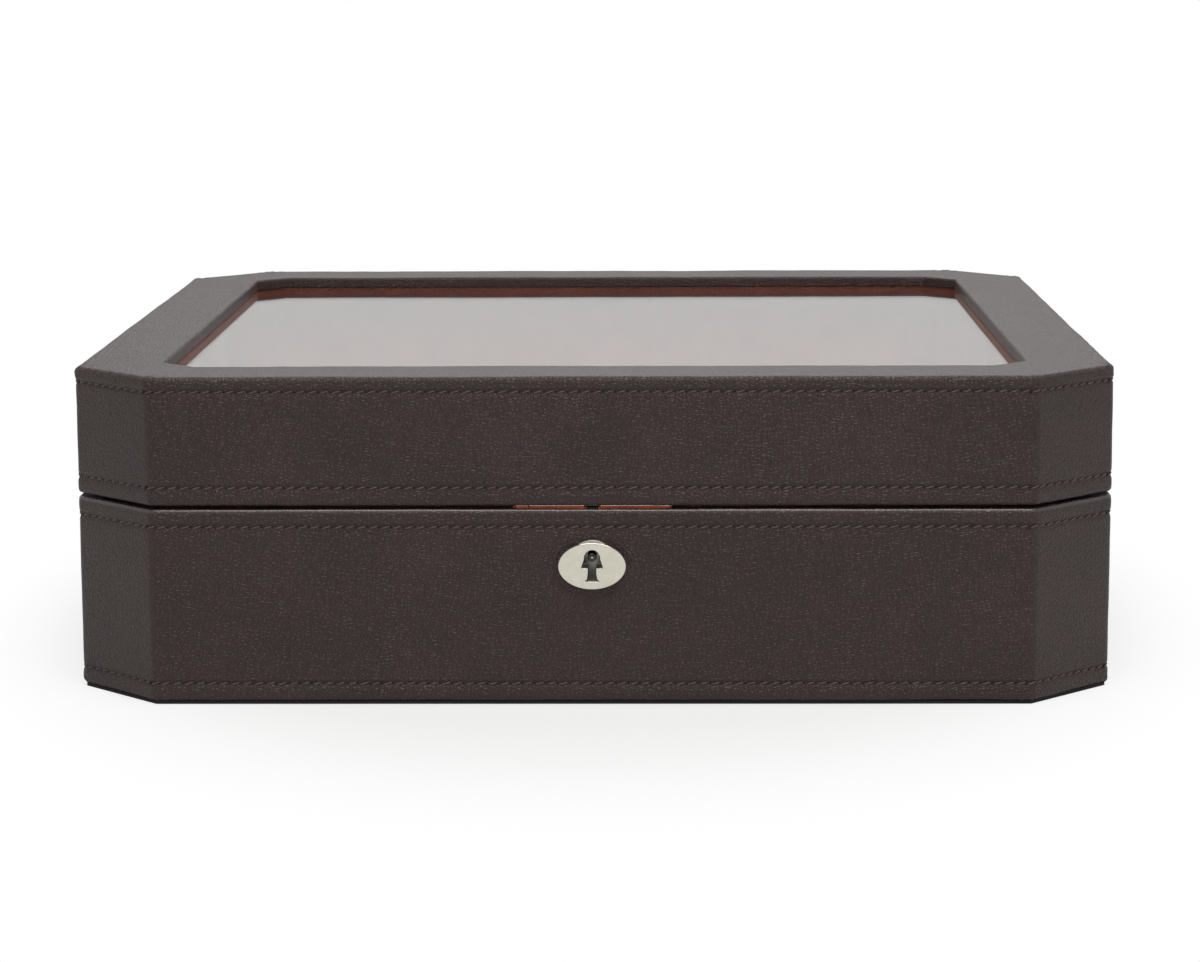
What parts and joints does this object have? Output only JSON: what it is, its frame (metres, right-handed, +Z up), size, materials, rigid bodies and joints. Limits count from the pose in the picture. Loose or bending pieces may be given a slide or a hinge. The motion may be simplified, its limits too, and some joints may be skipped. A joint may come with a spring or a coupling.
{
  "type": "watch box with glass lid",
  "caption": "Leather covered watch box with cut corners, a glass window in its hinged lid, a key lock, and suede lined compartments with watch cushions.",
  "frame": {"origin": "centre of the underside, where the felt pad rests on the table", "axes": "+Z up, +X to the right as seen from the lock, +Y from the lock to the hinges"},
  "size_m": [0.343, 0.3516, 0.108],
  "materials": {
    "leather_brown": "fine pebble grain, satin, dark brown",
    "board": "raw fibreboard",
    "suede_orange": "orange suede lining with a short nap",
    "suede_cushion": "orange suede over a soft filling",
    "felt_black": "black felt",
    "nickel": "polished nickel",
    "steel_inner": "plain steel",
    "glass_clear": "clear float glass, polished",
    "rubber_black": "matt rubber"
  },
  "bodies": {
    "base": {"underside_felt_pad": "felt_black", "base_bottom_board": "board", "base_front_board": "board", "base_back_board": "board", "base_side_boards": "board", "base_corner_boards": "board", "base_leather": "leather_brown", "base_wall_lining": "suede_orange", "base_floor_lining": "suede_orange", "rest_bumpers": "rubber_black", "lock_case": "steel_inner", "lock_selvedge": "nickel", "bolt_spring": "steel_inner", "key_post": "steel_inner", "escutcheon": "nickel", "hinge_base_leaf_left": "nickel", "hinge_base_leaf_right": "nickel", "hinge_pins": "steel_inner", "base_screws": "nickel", "long_divider_1": "suede_orange", "long_divider_2": "suede_orange", "long_divider_3": "suede_orange", "cross_divider_1": "suede_orange", "cross_divider_2": "suede_orange", "cross_divider_3": "suede_orange", "cross_divider_4": "suede_orange", "cushion_1_1": "suede_cushion", "cushion_1_2": "suede_cushion", "cushion_1_3": "suede_cushion", "cushion_1_4": "suede_cushion", "cushion_1_5": "suede_cushion", "cushion_2_1": "suede_cushion", "cushion_2_2": "suede_cushion", "cushion_2_3": "suede_cushion", "cushion_2_4": "suede_cushion", "cushion_2_5": "suede_cushion", "cushion_3_1": "suede_cushion", "cushion_3_2": "suede_cushion", "cushion_3_3": "suede_cushion", "cushion_3_4": "suede_cushion", "cushion_3_5": "suede_cushion", "cushion_4_1": "suede_cushion", "cushion_4_2": "suede_cushion", "cushion_4_3": "suede_cushion", "cushion_4_4": "suede_cushion", "cushion_4_5": "suede_cushion"},
    "lid": {"lid_front_board": "board", "lid_back_board": "board", "lid_side_boards": "board", "lid_corner_boards": "board", "lid_top_frame": "board", "lid_leather": "leather_brown", "lid_lining": "suede_orange", "glass_pane": "glass_clear", "glass_retainer": "board", "strike_plate": "nickel", "hinge_lid_leaf_left": "nickel", "hinge_lid_leaf_right": "nickel", "lid_screws": "nickel"},
    "lock_bolt": {"lock_bolt": "steel_inner"}
  },
  "joints": [
    {"name": "lid_hinge", "type": "hinge", "parent": "base", "child": "lid", "pos_m": [0, 0.17315, 0.065], "axis": [-1, 0, 0], "range_deg": [0, 95]},
    {"name": "bolt_slide", "type": "slide", "parent": "base", "child": "lock_bolt", "axis": [1, 0, 0], "range_m": [0, 0.0052]}
  ]
}
